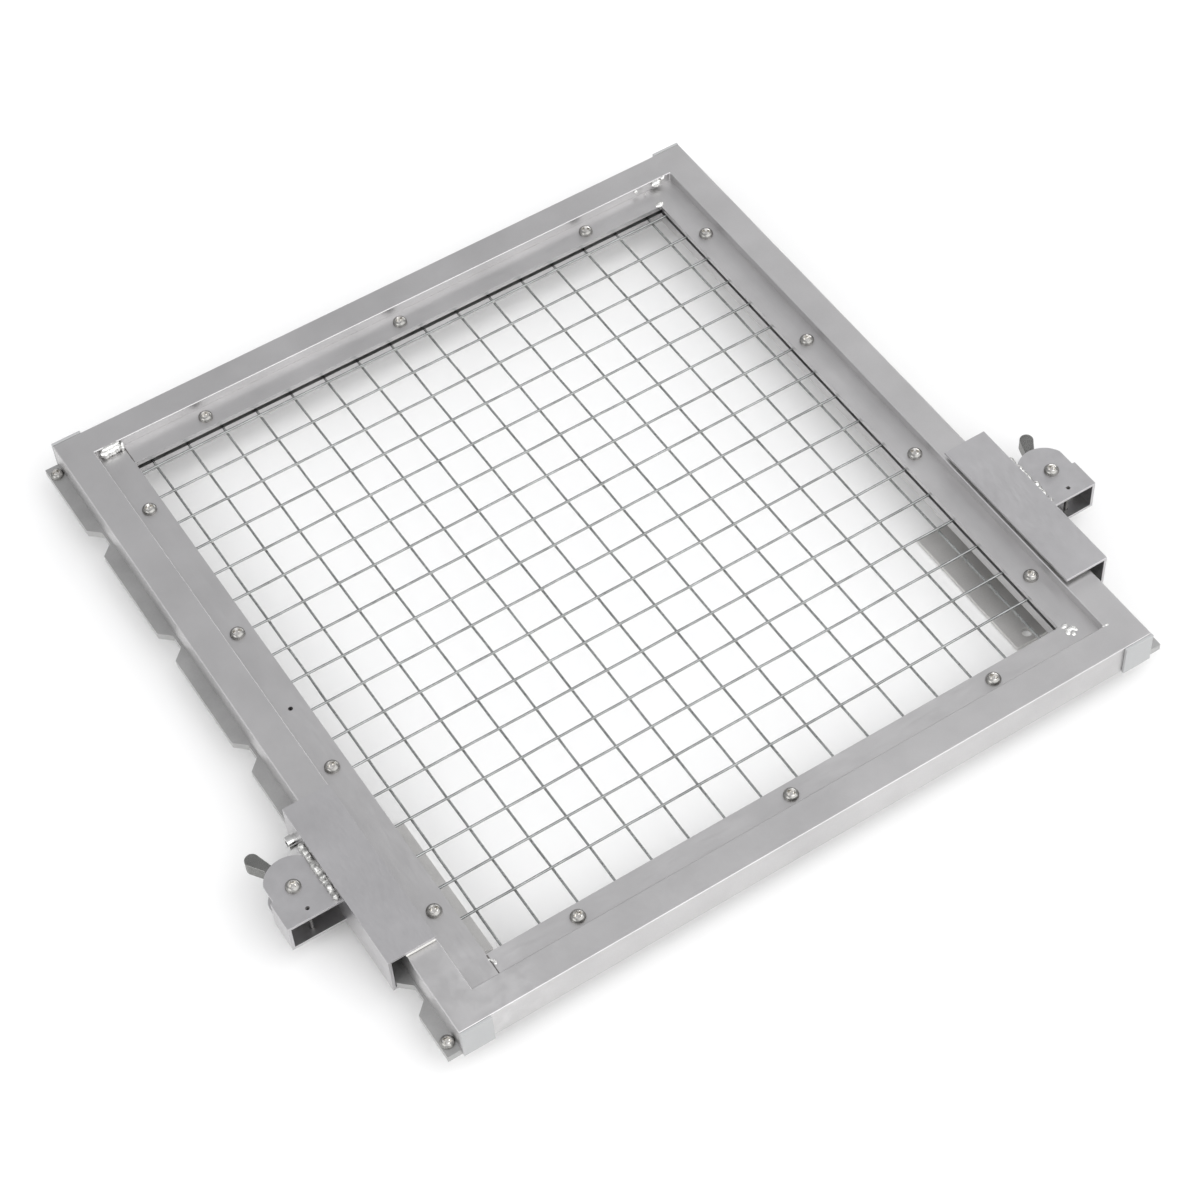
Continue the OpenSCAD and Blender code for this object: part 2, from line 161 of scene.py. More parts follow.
def new_material(name, colour, metallic, roughness, **sockets):
    """A material with one principled shader; its tree and shader come back too."""
    material = bpy.data.materials.new(name)
    material.use_nodes = True
    tree = material.node_tree
    shader = tree.nodes["Principled BSDF"]
    shader.inputs["Base Color"].default_value = (*colour, 1)
    shader.inputs["Metallic"].default_value = metallic
    shader.inputs["Roughness"].default_value = roughness
    for key, value in sockets.items():
        shader.inputs[key.replace("_", " ")].default_value = value
    return material, tree, shader


def ground_patch(tree, place, base, colour, spot):
    """A colour output with a blotchy paler patch that thins out away from a dressed weld."""
    x, y, radius = spot
    blotch_mm, paler_by, core = 14, 1.18, 0.25
    away = add_node(tree, "ShaderNodeVectorMath",
                    {"operation": "DISTANCE"}, {0: place.outputs["Object"]})
    away.inputs[1].default_value = (x * MM, y * MM, RAIL_TOP * MM)
    near = add_node(tree, "ShaderNodeMapRange",
                    {"From Min": radius * MM, "From Max": core * radius * MM},
                    {"Value": away.outputs["Value"]})
    blotch = add_node(tree, "ShaderNodeTexNoise",
                      {"Scale": 1 / (blotch_mm * MM), "Detail": 2.0, "Roughness": 0.5,
                       "Distortion": 0.4}, {"Vector": place.outputs["Object"]})
    soft = add_node(tree, "ShaderNodeMapRange", {"From Min": 0.4, "From Max": 0.66},
                    {"Value": blotch.outputs["Fac"]})
    share = add_node(tree, "ShaderNodeMath", {"operation": "MULTIPLY"},
                     {0: near.outputs[0], 1: soft.outputs[0]})
    # This node keeps its two colours in inputs 6 and 7, and its mixed colour in output 2
    paler = add_node(tree, "ShaderNodeMix", {"data_type": "RGBA", "blend_type": "MIX"},
                     {0: share.outputs[0], 6: base})
    paler.inputs[7].default_value = (*[min(1, c * paler_by) for c in colour], 1)
    return paler.outputs[2]


def grained(name, colour, roughness, grain_mm, depth_mm, cloud_mm, cloud=0.06,
            stretch=(1, 1, 1), rough_swing=0.08, metallic=1.0, ground=(), **sockets):
    """A finish with a fine grain in its relief and roughness, and soft clouds in its colour.

    grain_mm and cloud_mm are the sizes of one grain and of one cloud on the real surface,
    and depth_mm is the grain's relief; cloud and rough_swing are how far the colour and the
    roughness stray; stretch draws the grain out along an axis, as rolling and extruding do;
    ground lists (x, y, radius) places in millimetres where a weld was dressed with a grinder."""
    material, tree, shader = new_material(name, colour, metallic, roughness, **sockets)
    place = add_node(tree, "ShaderNodeTexCoord")
    drawn = add_node(tree, "ShaderNodeMapping", {"Scale": [1 / s for s in stretch]},
                     {"Vector": place.outputs["Object"]})
    grain = add_node(tree, "ShaderNodeTexNoise",
                     {"Scale": 1 / (grain_mm * MM), "Detail": 3.0, "Roughness": 0.6},
                     {"Vector": drawn.outputs[0]})
    clouds = add_node(tree, "ShaderNodeTexNoise",
                      {"Scale": 1 / (cloud_mm * MM), "Detail": 4.0, "Roughness": 0.55},
                      {"Vector": place.outputs["Object"]})
    # A noise stays between about these two values, so that they span the whole swing
    low, high = 0.3, 0.7
    tint = add_node(tree, "ShaderNodeValToRGB", {}, {"Fac": clouds.outputs["Fac"]})
    ramp = tint.color_ramp
    ramp.elements[0].position = low
    ramp.elements[0].color = (*[c * (1 - cloud) for c in colour], 1)
    ramp.elements[1].position = high
    ramp.elements[1].color = (*[min(1, c * (1 + cloud)) for c in colour], 1)
    colour_out = tint.outputs["Color"]
    for spot in ground:
        colour_out = ground_patch(tree, place, colour_out, colour, spot)
    tree.links.new(colour_out, shader.inputs["Base Color"])
    rough = add_node(tree, "ShaderNodeMapRange",
                     {"From Min": low, "From Max": high, "To Min": roughness - rough_swing,
                      "To Max": roughness + rough_swing},
                     {"Value": grain.outputs["Fac"]})
    tree.links.new(rough.outputs[0], shader.inputs["Roughness"])
    bump = add_node(tree, "ShaderNodeBump", {"Strength": 1.0, "Distance": depth_mm * MM},
                    {"Height": grain.outputs["Fac"]})
    tree.links.new(bump.outputs["Normal"], shader.inputs["Normal"])
    return material


def make_materials(colours):
    """Every finish on the platform, by the name that its pieces ask for.

    The real grains and draw lines are finer than these, which are as coarse as they need
    to be to show at all."""
    finish = {}
    # Where the front left corner's weld was ground flush: x, y and radius, in millimetres
    corner = [(-(IN_X + OPEN_X) / 2, -(IN_Y + 2), 48)]
    # Extruded aluminium tube, as it comes from the mill: an even satin grey with a fine dry
    # grain, broad soft clouds and no clear mirror image, blotchy and paler where it was ground
    finish["rail"] = grained(
        "extruded_aluminium", colours.rail, roughness=0.42, grain_mm=0.8, depth_mm=0.006,
        cloud_mm=45, ground=corner)
    # Sawn flat bar: the same metal with faint draw lines along it
    for axis, stretch in (("y", (1, 14, 1)), ("x", (14, 1, 1))):
        finish[f"bar_{axis}"] = grained(
            f"drawn_aluminium_along_{axis}", colours.rail, roughness=0.42, grain_mm=0.8,
            depth_mm=0.006, cloud_mm=40, stretch=stretch, ground=corner)
    # Milled and sawn aluminium, dull and a little darker, with coarser marks
    finish["rack"] = grained(
        "sawn_aluminium", colours.rack, roughness=0.5, grain_mm=1.2, depth_mm=0.012,
        cloud_mm=25, cloud=0.1)
    # Rolled aluminium sheet, folded: smoother than the tube, soft rolling lines along the fold
    finish["sheet"] = grained(
        "rolled_sheet_aluminium", colours.sheet, roughness=0.38, grain_mm=0.7, depth_mm=0.004,
        cloud_mm=35, stretch=(1, 10, 1))
    # Foot bracket: blasted aluminium, pale and dry
    finish["foot"] = grained(
        "blasted_aluminium", linear("#D6D5D3"), roughness=0.6, grain_mm=0.8, depth_mm=0.01,
        cloud_mm=30)
    # Laser-cut steel sheet, zinc plated: slightly shinier, with small spangle clouds
    finish["housing"] = grained(
        "zinc_plated_sheet", colours.sheet, roughness=0.36, grain_mm=1.0, depth_mm=0.005,
        cloud_mm=9, cloud=0.05)
    # Zinc plated drawn wire: fine streaks and dull patches, so that it glints in short lengths
    finish["wire"] = grained(
        "zinc_plated_wire", colours.wire, roughness=0.3, grain_mm=2.5, depth_mm=0.01,
        cloud_mm=14, cloud=0.25, rough_swing=0.12)
    # Resistance-weld nugget: the same zinc, lumpy, its paler colour a painted highlight at each
    # crossing
    finish["nugget"] = grained(
        "weld_nugget_painted_highlight", linear("#C9C9C6"), roughness=0.34, grain_mm=0.6, depth_mm=0.03,
        cloud_mm=12, cloud=0.2)
    # Arc-welded aluminium bead: bright, wet-looking ripples with a sugary grain
    finish["bead"] = grained(
        "aluminium_weld_bead", linear("#EDEDEA"), roughness=0.3, grain_mm=0.9, depth_mm=0.05,
        cloud_mm=5, cloud=0.1, rough_swing=0.12)
    # The same bead on the thin sheet: greyer, with soot left in its pits
    finish["sooty_bead"] = grained(
        "sheet_weld_bead", linear("#C4C4C1"), roughness=0.34, grain_mm=0.9, depth_mm=0.06,
        cloud_mm=2.5, cloud=0.45, rough_swing=0.12)
    # Painted shade of an open joint: a dark, dry and matt strip
    finish["soot"] = grained(
        "painted_joint_shade", linear("#5B5957"), roughness=0.9, grain_mm=0.5, depth_mm=0.02,
        cloud_mm=3, cloud=0.3, metallic=0.0)
    # Stainless screw heads, cold formed: bright and smooth, the drive recess darker by shade
    finish["screw"] = grained(
        "stainless_steel", colours.steel, roughness=0.16, grain_mm=1.5, depth_mm=0.004,
        cloud_mm=4, cloud=0.08, rough_swing=0.05)
    # Flank of the same head: a darker grey, a painted dark reflection and shade round the head's
    # rim
    finish["flank_painted_dark"] = grained(
        "stainless_painted_dark_reflection", linear("#969592"), roughness=0.26, grain_mm=1.5,
        depth_mm=0.006, cloud_mm=3, cloud=0.2)
    # Chrome-bright socket screw
    finish["bright"] = grained(
        "bright_plated_steel", linear("#D9D9D7"), roughness=0.12, grain_mm=1.0,
        depth_mm=0.002, cloud_mm=3, cloud=0.04, rough_swing=0.03)
    # Tumbled steel plate: grey and softly worn
    finish["lever"] = grained(
        "tumbled_steel", colours.lever, roughness=0.3, grain_mm=0.9, depth_mm=0.005,
        cloud_mm=8, cloud=0.1)
    # Oil-dipped spring wire: dark grey and glossy
    finish["spring"] = grained(
        "oiled_spring_steel", linear("#6F6E6C"), roughness=0.28, grain_mm=0.8,
        depth_mm=0.006, cloud_mm=4, cloud=0.15)
    # Moulded polyethylene: pale, matt, with a fine mould texture
    finish["cap"] = grained(
        "moulded_polyethylene", colours.cap, roughness=0.55, grain_mm=0.6, depth_mm=0.01,
        cloud_mm=20, cloud=0.02, metallic=0.0, IOR=1.51)
    # Sawn nylon strip: white with a faint cream cast
    finish["nylon"] = grained(
        "sawn_nylon", linear("#F2F1EC"), roughness=0.48, grain_mm=0.9, depth_mm=0.015,
        cloud_mm=12, cloud=0.02, metallic=0.0, IOR=1.53)
    return finish


FINISH = {}


# ---------------------------------------------------------------- building
def new_piece(name, mesh, finish, body, replaces=(), smooth_angle=35, flats=False):
    """Links a mesh as a piece that rides on a body and stands for CAD nodes."""
    for f in (finish if isinstance(finish, tuple) else (finish,)):
        mesh.materials.append(FINISH[f])
    piece = bpy.data.objects.new(name, mesh)
    bpy.context.scene.collection.objects.link(piece)
    mesh.shade_smooth()
    mesh.set_sharp_from_angle(angle=math.radians(smooth_angle))
    if flats:
        # Flat faces keep their own direction, and only the roundings between them turn
        level = piece.modifiers.new("level", "WEIGHTED_NORMAL")
        level.weight = 100
        level.keep_sharp = True
    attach(piece, body)
    if replaces:
        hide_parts(*replaces)


def body_of(node):
    """The body that holds a CAD node."""
    return next(b for b, ns in frame["record"]["behaviour"]["bodies"].items() if node in ns)


def clean_copy(node):
    """A CAD node's mesh with its doubled corners joined and its flat faces made whole."""
    same, level = 0.002 * MM, math.radians(0.5)     # one corner, and one flat face
    bm = bmesh.new()
    bm.from_mesh(frame["nodes"][node].data)
    bmesh.ops.remove_doubles(bm, verts=bm.verts, dist=same)
    bmesh.ops.dissolve_limit(bm, angle_limit=level, verts=bm.verts, edges=bm.edges)
    bm.normal_update()
    return bm


def round_edges(bm, name, width, segments):
    """A mesh of a bmesh with its sharp edges rounded. The bmesh is used up."""
    sharp = [e for e in bm.edges if len(e.link_faces) == 2
             and e.calc_face_angle(0) > math.radians(SHARP_ANGLE)]
    bmesh.ops.bevel(bm, geom=sharp, offset=width, offset_type="OFFSET", segments=segments,
                    profile=0.5, affect="EDGES", clamp_overlap=True)
    mesh = bpy.data.meshes.new(name)
    bm.to_mesh(mesh)
    bm.free()
    return mesh


def rounded(node, width, finish, segments=2):
    """A piece with the shape of a CAD node and its sharp edges rounded."""
    mesh = round_edges(clean_copy(node), f"{node}_rounded", width, segments)
    new_piece(mesh.name, mesh, finish, body_of(node), [node],
              smooth_angle=ROUNDED_ANGLE, flats=True)


def from_arrays(name, vertices, faces):
    """A mesh from plain lists of corners, in metres, and faces."""
    mesh = bpy.data.meshes.new(name)
    mesh.from_pydata([tuple(v) for v in vertices], [], faces)
    mesh.update()
    return mesh


def joined(name, meshes):
    """One mesh from (mesh, matrix) pairs, where no matrix mirrors."""
    vertices, faces, finishes = [], [], []
    for mesh, matrix in meshes:
        start = len(vertices)
        vertices += [matrix @ v.co for v in mesh.vertices]
        for polygon in mesh.polygons:
            faces.append([start + i for i in polygon.vertices])
            finishes.append(polygon.material_index)
    mesh = from_arrays(name, vertices, faces)
    mesh.polygons.foreach_set("material_index", finishes)
    return mesh


def swept(points, sizes, sides):
    """Corners and faces of a closed tube along points, with (half width, half height) sizes."""
    vertices, faces = [], []
    count, up = len(points), Vector((0, 0, 1))
    for i, point in enumerate(points):
        ahead = (points[min(i + 1, count - 1)] - points[max(i - 1, 0)]).normalized()
        across = ahead.cross(up).normalized()
        over = across.cross(ahead).normalized()
        width, height = sizes[i]
        for k in range(sides):
            turn = 2 * math.pi * k / sides
            vertices.append(point + across * width * math.cos(turn)
                            + over * height * math.sin(turn))
    for i in range(count - 1):
        for k in range(sides):
            a, b = i * sides + k, i * sides + (k + 1) % sides
            faces.append((a, b, b + sides, a + sides))
    faces.append(tuple(range(sides - 1, -1, -1)))
    faces.append(tuple(range((count - 1) * sides, count * sides)))
    return vertices, faces


def gathered(name, parts):
    """One mesh from many (corners, faces) parts."""
    vertices, faces = [], []
    for part_vertices, part_faces in parts:
        start = len(vertices)
        vertices += part_vertices
        faces += [tuple(start + i for i in f) for f in part_faces]
    mesh = from_arrays(name, vertices, faces)
    bm = bmesh.new()
    bm.from_mesh(mesh)
    bmesh.ops.recalc_face_normals(bm, faces=bm.faces)
    bm.to_mesh(mesh)
    bm.free()
    return mesh


# ---------------------------------------------------------------- frame
class CARRIER_OT_frame(bpy.types.Operator):
    """Welded tube frame with its corners ground flush, and the four end caps"""
    bl_idname = "carrier.frame"
    bl_label = "Tube frame"

    def execute(self, context):
        edges = context.scene.carrier_edges
        bm = bmesh.new()
        z0, z1 = RAIL_LOW.z * MM, RAIL_TOP * MM
        rings = []
        for x, y in ((HALF_W * MM, HALF_L * MM), (IN_X * MM, IN_Y * MM)):
            for z in (z0, z1):
                rings.append([bm.verts.new((sx * x, sy * y, z))
                              for sx, sy in CORNERS])
        outer_low, outer_high, inner_low, inner_high = rings
        for i in range(4):
            j = (i + 1) % 4
            bm.faces.new((outer_low[i], outer_low[j], outer_high[j], outer_high[i]))
            bm.faces.new((inner_low[j], inner_low[i], inner_high[i], inner_high[j]))
            bm.faces.new((outer_high[i], outer_high[j], inner_high[j], inner_high[i]))
            bm.faces.new((outer_low[j], outer_low[i], inner_low[i], inner_low[j]))
        bmesh.ops.recalc_face_normals(bm, faces=bm.faces)
        bm.normal_update()
        mesh = round_edges(bm, "tube_frame_welded", edges.tube, segments=3)
        new_piece("tube_frame_welded", mesh, "rail", "frame",
                  ["side_rail_left", "side_rail_right", "front_rail", "back_rail"],
                  smooth_angle=ROUNDED_ANGLE, flats=True)
        for end in ("front", "back"):
            for side, _ in SIDES:
                rounded(f"end_cap_{end}_{side}", edges.sheet, "cap", segments=3)
        return {"FINISHED"}


class CARRIER_OT_bars(bpy.types.Operator):
    """Flange bars round the opening, and the retainer bars under them"""
    bl_idname = "carrier.bars"
    bl_label = "Flange and retainer bars"

    def execute(self, context):
        edge = context.scene.carrier_edges.bar
        for kind in ("flange", "retainer"):
            for place in ("left", "right", "front", "back"):
                lay = "bar_y" if place in ("left", "right") else "bar_x"
                rounded(f"{kind}_{place}", edge, lay)
        return {"FINISHED"}


# ---------------------------------------------------------------- mesh
def rows_of(node, axis, radius):
    """Places of the separate parallel wires of a CAD node across them, in millimetres."""
    values = sorted({round(v.co[axis] / MM, 3) for v in frame["nodes"][node].data.vertices})
    rows = [[values[0]]]
    for value in values[1:]:
        if value - rows[-1][0] > 2 * radius + 0.01:
            rows.append([])
        rows[-1].append(value)
    return [(row[0] + row[-1]) / 2 for row in rows]


class CARRIER_OT_mesh(bpy.types.Operator):
    """Welded wire mesh, wires a little off straight, a nugget at each crossing in the opening"""
    bl_idname = "carrier.wire_mesh"
    bl_label = "Wire mesh"

    def execute(self, context):
        wires = context.scene.carrier_wires
        long_low, long_high = box_mm("mesh_long_wires")
        cross_low, cross_high = box_mm("mesh_cross_wires")
        radius = (long_high.z - long_low.z) / 2
        long_z = (long_low.z + long_high.z) / 2
        cross_z = (cross_low.z + cross_high.z) / 2
        xs = rows_of("mesh_long_wires", 0, radius)
        ys = rows_of("mesh_cross_wires", 1, radius)

        stations = 90                       # rings along a wire
        first_long, first_cross = 1, 51     # keys that give each wire its own stray

        def sway(at, key):
            """Sideways stray of a wire: a bow 150 mm long and a kink 28 mm long."""
            bow = noise.noise(Vector((at / 150, key * 7.3, 0.4)))
            kink = noise.noise(Vector((at / 28, key * 3.1, 9.2)))
            return (bow * 1.5 + kink * 0.45) * wires.sway / MM

        def drawn(kind, parts):
            """The piece that holds every wire of one layer."""
            name = f"mesh_{kind}_wires_drawn"
            new_piece(name, gathered(name, parts), "wire", "frame",
                      [f"mesh_{kind}_wires"], smooth_angle=ROUNDED_ANGLE)

        sizes = [(radius * MM, radius * MM)] * stations
        parts = []
        for i, x in enumerate(xs):
            points = [Vector((x + sway(y, first_long + i), y, long_z)) * MM
                      for y in np.linspace(long_low.y, long_high.y, stations)]
            parts.append(swept(points, sizes, wires.sides))
        drawn("long", parts)
        parts = []
        for j, y in enumerate(ys):
            points = [Vector((x, y + sway(x, first_cross + j), cross_z)) * MM
                      for x in np.linspace(cross_low.x, cross_high.x, stations)]
            parts.append(swept(points, sizes, wires.sides))
        drawn("cross", parts)

        # Where two wires cross, the weld leaves a lump between them
        ball = bmesh.new()
        bmesh.ops.create_icosphere(ball, subdivisions=2, radius=0.5)
        seed = bpy.data.meshes.new("nugget_seed")
        ball.to_mesh(seed)
        ball.free()
        dice = random.Random(5)
        tall, off = 2.2, 0.2                # millimetres: height, and stray from the crossing
        lumps = []
        for i, x in enumerate(xs):
            for j, y in enumerate(ys):
                if abs(x) > OPEN_X or abs(y) > OPEN_Y:
                    continue
                width = wires.nugget * dice.uniform(0.8, 1.15)
                centre = Vector((x + sway(y, first_long + i) + dice.uniform(-off, off),
                                 y + sway(x, first_cross + j) + dice.uniform(-off, off),
                                 (long_z + cross_z) / 2)) * MM
                size = Matrix.Diagonal((width * 1.15, width, tall * MM, 1))
                lumps.append((seed, Matrix.Translation(centre) @ size))
        new_piece("mesh_weld_nuggets", joined("mesh_weld_nuggets", lumps), "nugget", "frame",
                  smooth_angle=80)
        return {"FINISHED"}


# ---------------------------------------------------------------- screws
HEAD_WIDTH = 9.5        # mm, pan head of the deck and pivot screws
STOP_WIDTH = 8.8        # mm, pan head of the racks' stop screws
HEAD_HEIGHT = 3.3       # mm
SHANK = 5.0             # mm, across every screw's thread


def pan_head(width, length):
    """A cold-formed screw with a cross recess, seated on z = 0, in metres.

    width and length are the head's width and the shank's length, in millimetres."""
    r, height, shank, length = width / 2 * MM, HEAD_HEIGHT * MM, SHANK * MM, length * MM
    # The head's side as (share of its radius, share of its height)
    profile = [(0, 1), (0.2, 0.995), (0.4, 0.965), (0.58, 0.9), (0.74, 0.79), (0.87, 0.63),
               (0.95, 0.46), (0.99, 0.28), (1.0, 0.14), (0.985, 0.03), (0.96, 0)]
    points = [(u * r, v * height) for u, v in profile]
    # The shank, with its tip chamfered
    points += [(shank / 2, 0), (shank / 2, -length * 0.94), (shank * 0.42, -length),
               (0, -length)]
    sides = 40
    vertices, faces, rows = [], [], []
    for radius, z in points:
        if radius == 0:
            rows.append([len(vertices)])
            vertices.append((0, 0, z))
            continue
        rows.append(list(range(len(vertices), len(vertices) + sides)))
        vertices += [(radius * math.cos(2 * math.pi * k / sides),
                      radius * math.sin(2 * math.pi * k / sides), z) for k in range(sides)]
    for upper, lower in zip(rows, rows[1:]):
        for k in range(sides):
            n = (k + 1) % sides
            if len(upper) == 1:
                faces.append((upper[0], lower[k], lower[n]))
            elif len(lower) == 1:
                faces.append((upper[k], lower[0], upper[n]))
            else:
                faces.append((upper[k], lower[k], lower[n], upper[n]))
    head = bpy.data.objects.new("head", from_arrays("head", vertices, faces))
    # Each arm of the recess narrows from above the crown down to half the head's height
    reach, half = 0.56 * r, 0.15 * r
    rims = ((1.1 * height, reach * 1.12, half * 1.35), (0.5 * height, reach * 0.6, half))
    corners = [(sx * a, sy * b, z) for z, a, b in rims for sx, sy in CORNERS]
    walls = [(i, (i + 1) % 4, 4 + (i + 1) % 4, 4 + i) for i in range(4)]
    sheet = [(3, 2, 1, 0), (4, 5, 6, 7)] + walls
    cutters = []
    for turn in (0, math.pi / 2):
        cutter = bpy.data.objects.new("cutter", from_arrays("cutter", corners, sheet))
        bm = bmesh.new()
        bm.from_mesh(cutter.data)
        bmesh.ops.recalc_face_normals(bm, faces=bm.faces)
        bm.transform(Matrix.Rotation(turn, 4, "Z"))
        bm.to_mesh(cutter.data)
        bm.free()
        cutters.append(cutter)
    collection = bpy.context.scene.collection
    for obj in [head, *cutters]:
        collection.objects.link(obj)
    for cutter in cutters:
        cut = head.modifiers.new("recess", "BOOLEAN")
        cut.operation, cut.object, cut.solver = "DIFFERENCE", cutter, "EXACT"
    bpy.context.view_layer.update()
    done = bpy.data.meshes.new_from_object(
        head.evaluated_get(bpy.context.evaluated_depsgraph_get()))
    # The crown and its recess are bright (0); the flank and the shank (1) get a painted dark
    # reflection
    crown = 0.6 * r
    for polygon in done.polygons:
        x, y, z = polygon.center
        polygon.material_index = int(math.hypot(x, y) > crown or z < 0)
    # The cuts leave slivers with no area beside the recess
    bm = bmesh.new()
    bm.from_mesh(done)
    bmesh.ops.triangulate(bm, faces=[f for f in bm.faces if len(f.verts) > 4])
    bmesh.ops.dissolve_degenerate(bm, dist=0.001 * MM, edges=bm.edges)
    bm.to_mesh(done)
    bm.free()
    for obj in [head, *cutters]:
        bpy.data.objects.remove(obj)
    return done


def seats(node, bottom):
    """Centres of the separate screws in a CAD node, in metres, at a height in millimetres."""
    cell = 12       # mm, wider than a head, so that a screw fills cells that touch
    places = {}
    for v in frame["nodes"][node].data.vertices:
        key = (round(v.co.x / MM / cell), round(v.co.y / MM / cell))
        near = next((k for k in places
                     if abs(k[0] - key[0]) <= 1 and abs(k[1] - key[1]) <= 1), key)
        places.setdefault(near, []).append(v.co)
    centres = []
    for cloud in places.values():
        low = Vector([min(c[i] for c in cloud) for i in range(3)])
        high = Vector([max(c[i] for c in cloud) for i in range(3)])
        middle = (low + high) / 2
        centres.append(Vector((middle.x, middle.y, bottom * MM)))
    return sorted(centres, key=lambda c: (round(c.x, 4), round(c.y, 4)))


class CARRIER_OT_fasteners(bpy.types.Operator):
    """Pan-head screws of the deck, the racks and the pivots, with their nuts and bolts"""
    bl_idname = "carrier.fasteners"
    bl_label = "Screws, nuts and bolts"

    def execute(self, context):
        dice = random.Random(11)

        def turned(screw, centre):
            """A screw on its seat, with its recess turned at random."""
            turn = Matrix.Rotation(dice.uniform(0, math.pi), 4, "Z")
            return screw, Matrix.Translation(centre) @ turn

        retainer_low, _ = box_mm("retainer_right")
        rack_low, rack_high = box_mm("notched_rack_right")
        for node, width, seat, length, count in (
                ("deck_screws", HEAD_WIDTH, FLANGE_TOP, FLANGE_TOP - retainer_low.z, 14),
                ("rack_stop_screws", STOP_WIDTH, rack_high.z, rack_high.z - rack_low.z, 4)):
            screw = pan_head(width, length)
            placed = [turned(screw, c) for c in seats(node, seat)]
            if len(placed) != count:
                raise RuntimeError(f"expected {count} {node}, found {len(placed)}")
            # The flank and the shank take the second finish, a painted dark reflection
            new_piece(f"{node}_formed", joined(f"{node}_formed", placed), ("screw", "flank_painted_dark"),
                      "frame", [node])
        nut_edge, bolt_edge = 0.35 * MM, 0.5 * MM
        for side, _ in SIDES:
            node = f"pivot_screw_{side}"
            low, high = box_mm(node)
            seat = high.z - HEAD_HEIGHT
            centre = Vector((*((low + high) / 2).xy, seat)) * MM
            mesh = joined(f"{node}_formed",
                          [turned(pan_head(HEAD_WIDTH, seat - low.z), centre)])
            new_piece(mesh.name, mesh, ("screw", "flank_painted_dark"), body_of(node), [node])
            rounded(f"pivot_nut_{side}", nut_edge, "screw")
            rounded(f"stop_nut_{side}", nut_edge, "screw")
            rounded(f"stop_bolt_{side}", bolt_edge, "bright", segments=3)
            for slot in frame["nodes"][f"spring_pin_{side}"].material_slots:
                slot.material = FINISH["spring"]
        return {"FINISHED"}


# ---------------------------------------------------------------- racks and carriages
class CARRIER_OT_racks(bpy.types.Operator):
    """Notched racks along the outside of the side rails"""
    bl_idname = "carrier.racks"
    bl_label = "Notched racks"

    def execute(self, context):
        for side, _ in SIDES:
            rounded(f"notched_rack_{side}", context.scene.carrier_edges.bar, "rack")
        return {"FINISHED"}


class CARRIER_OT_carriages(bpy.types.Operator):
    """Folded carriages with their glide pads, feet and latch housings"""
    bl_idname = "carrier.carriages"
    bl_label = "Sliding carriages"

    def execute(self, context):
        edges = context.scene.carrier_edges
        for side, _ in SIDES:
            rounded(f"carriage_{side}", edges.sheet, "sheet", segments=3)
            rounded(f"glide_pad_{side}", edges.bar, "nylon")
            rounded(f"foot_{side}", edges.sheet, "foot", segments=3)
            rounded(f"latch_housing_{side}", edges.sheet, "housing", segments=3)
        return {"FINISHED"}


class CARRIER_OT_levers(bpy.types.Operator):
    """Latch levers and the torsion springs on their hubs"""
    bl_idname = "carrier.levers"
    bl_label = "Levers and springs"

    def execute(self, context):
        edges = context.scene.carrier_edges
        for side, sign in SIDES:
            rounded(f"latch_lever_{side}", edges.lever, "lever", segments=4)
            node = f"lever_spring_{side}"
            low, high = box_mm(node)
            screw_low, screw_high = box_mm(f"pivot_screw_{side}")
            pin_low, pin_high = box_mm(f"spring_pin_{side}")
            pivot = ((screw_low + screw_high) / 2).xy
            pin = ((pin_low + pin_high) / 2).xy
            # The wire is wound inside the CAD sleeve, clear of it and of the pin
            wire, inset, clear = 0.58, 0.65, 0.05
            mean = (high.x - low.x) / 2 - inset
            rise, top = low.z + wire, high.z - wire - clear
            gap = (pin - pivot).length
            # A straight leg leans on the pin and runs into the first coil
            lean = math.asin((mean - wire - (pin_high.x - pin_low.x) / 2 - clear) / gap)
            start = Vector((mean * math.cos(-lean), mean * math.sin(-lean)))
            leg = Vector((-math.sin(lean), -math.cos(lean)))
            past_pin, before_coil = 2, 0.5
            points = [Vector((*(start + leg * s), rise))
                      for s in np.linspace(gap + past_pin, before_coil, 14)]
            turns, steps, sides = 4.75, 28, 10
            for k in range(int(turns * steps) + 1):
                share = k / (turns * steps)
                angle = -lean + share * turns * 2 * math.pi
                height = rise + (top - rise) * share
                points.append(Vector((mean * math.cos(angle), mean * math.sin(angle), height)))
            centre = Vector((pivot.x, pivot.y, 0))
            points = [(centre + Vector((sign * p.x, p.y, p.z))) * MM for p in points]
            coils = swept(points, [(wire * MM, wire * MM)] * len(points), sides)
            mesh = gathered(f"{node}_wound", [coils])
            new_piece(mesh.name, mesh, "spring", body_of(node), [node],
                      smooth_angle=ROUND_ANGLE)
        return {"FINISHED"}


